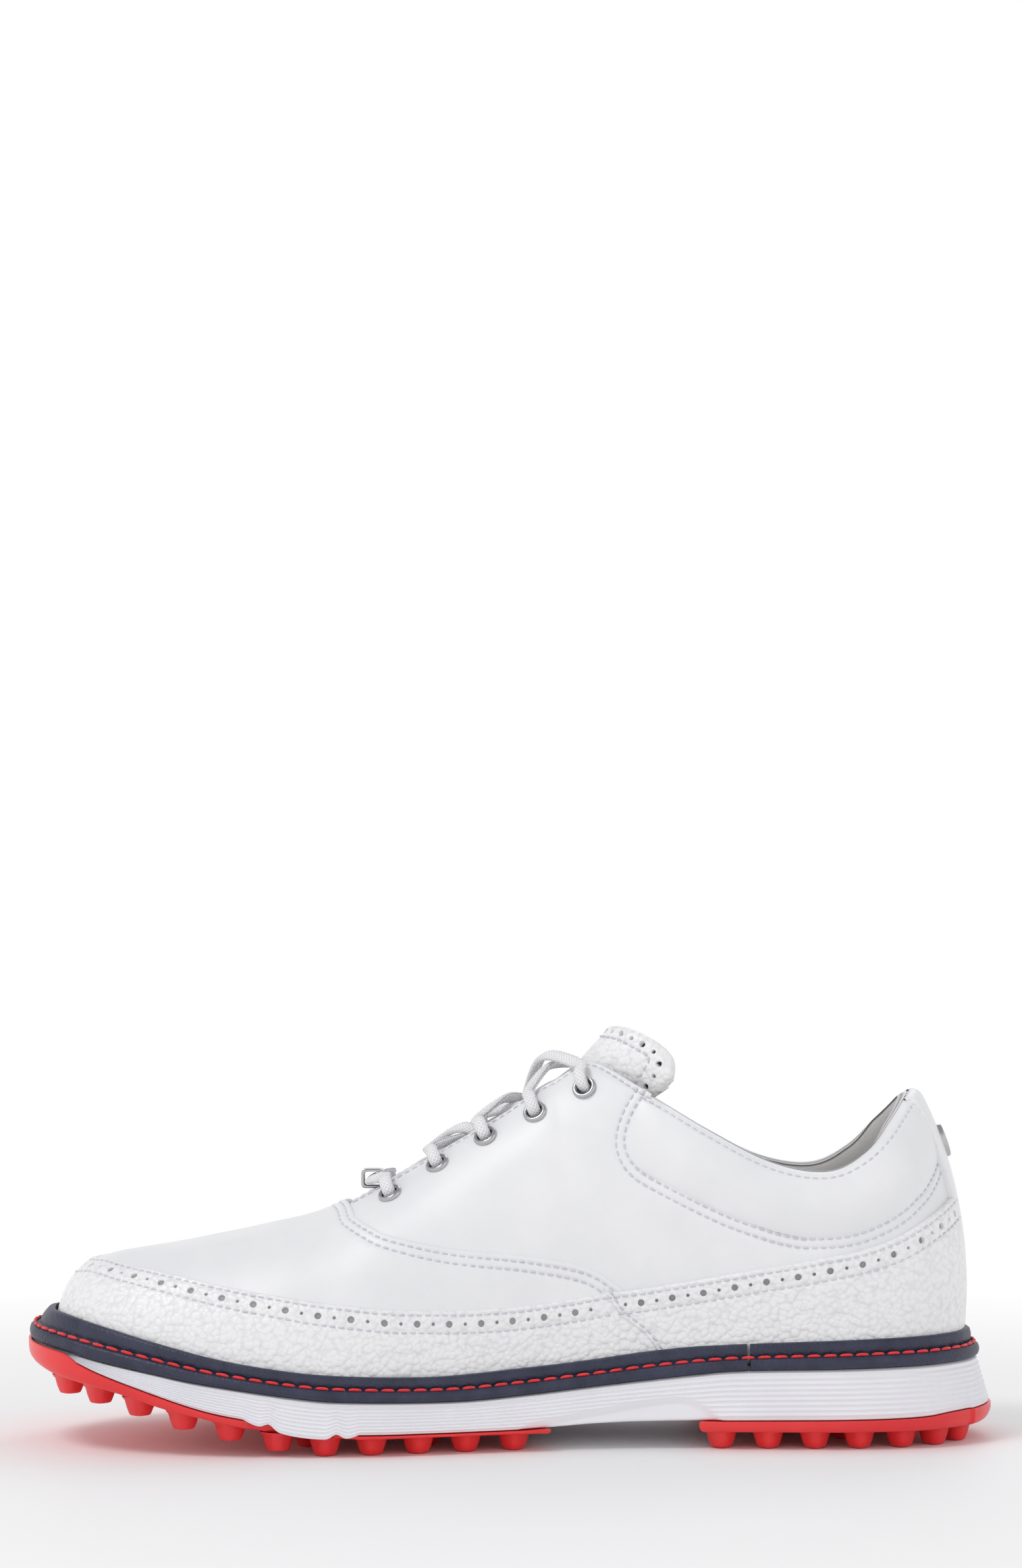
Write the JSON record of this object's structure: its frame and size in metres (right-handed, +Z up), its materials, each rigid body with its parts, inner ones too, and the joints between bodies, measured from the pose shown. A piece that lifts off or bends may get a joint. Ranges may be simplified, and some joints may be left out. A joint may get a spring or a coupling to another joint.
{
  "type": "golf shoe",
  "caption": "Right low-cut golf shoe: lugged two-piece outsole, ribbed foam midsole, stitched storm welt, brogued overlays, padded collar, laced instep with metal eyelets",
  "frame": {"origin": "centre of the bounding box, on the ground plane under the lugs", "axes": "+X towards the toe, +Y towards the arch side (the wearer's left), +Z up"},
  "size_m": [0.3019, 0.1095, 0.1292],
  "materials": {
    "smooth_leather": "smooth full grain, satin",
    "pebbled_leather": "embossed pebble grain, satin gloss",
    "lining_leather": "matte light grey lining",
    "tongue_lining": "matte padded lining",
    "filler_foam": "open foam",
    "fibre_board": "pressed fibre board",
    "stiffener": "thermoplastic sheet",
    "shank_steel": "spring steel",
    "welt_navy": "dark navy, satin, fine grain",
    "midsole_white": "moulded foam, matte, fine ribs",
    "outsole_red": "translucent moulded rubber, satin",
    "lace_white": "flat woven lace",
    "nickel": "satin nickel"
  },
  "bodies": {
    "root": {"aglet_lateral": "nickel", "aglet_medial": "nickel", "back_strip": "smooth_leather", "bottom_filler": "filler_foam", "collar_foam_lateral": "filler_foam", "collar_foam_medial": "filler_foam", "collar_panel_lateral": "smooth_leather", "collar_panel_medial": "smooth_leather", "eyelet_lateral_1": "nickel", "eyelet_lateral_2": "nickel", "eyelet_lateral_3": "nickel", "eyelet_lateral_4": "nickel", "eyelet_lateral_5": "nickel", "eyelet_medial_1": "nickel", "eyelet_medial_2": "nickel", "eyelet_medial_3": "nickel", "eyelet_medial_4": "nickel", "eyelet_medial_5": "nickel", "eyelet_stay_lateral": "stiffener", "eyelet_stay_medial": "stiffener", "heel_counter": "stiffener", "heel_stud": "nickel", "insole_board": "fibre_board", "lace": "lace_white", "midsole": "midsole_white", "mudguard_front": "pebbled_leather", "mudguard_rear_lateral": "pebbled_leather", "mudguard_rear_medial": "pebbled_leather", "outsole_forefoot": "outsole_red", "outsole_heel": "outsole_red", "quarter_lateral": "smooth_leather", "quarter_lining_lateral": "lining_leather", "quarter_lining_medial": "lining_leather", "quarter_medial": "smooth_leather", "shank": "shank_steel", "sockliner": "lining_leather", "storm_welt": "welt_navy", "toe_puff": "stiffener", "vamp": "smooth_leather", "vamp_lining": "lining_leather"},
    "tongue": {"tongue_face": "pebbled_leather", "tongue_foam": "tongue_lining"},
    "keeper": {"lace_keeper": "nickel"}
  },
  "joints": [
    {"name": "tongue_fold", "type": "hinge", "parent": "root", "child": "tongue", "pos_m": [0.049, 0, 0.0635], "axis": [0, -1, 0], "range_deg": [0, 12], "stiffness_Nm_per_rad": 0.3, "springref_deg": -8.59},
    {"name": "keeper_slide", "type": "slide", "parent": "root", "child": "keeper", "axis": [0, 1, 0], "range_m": [-0.0012, 0.0012]}
  ]
}
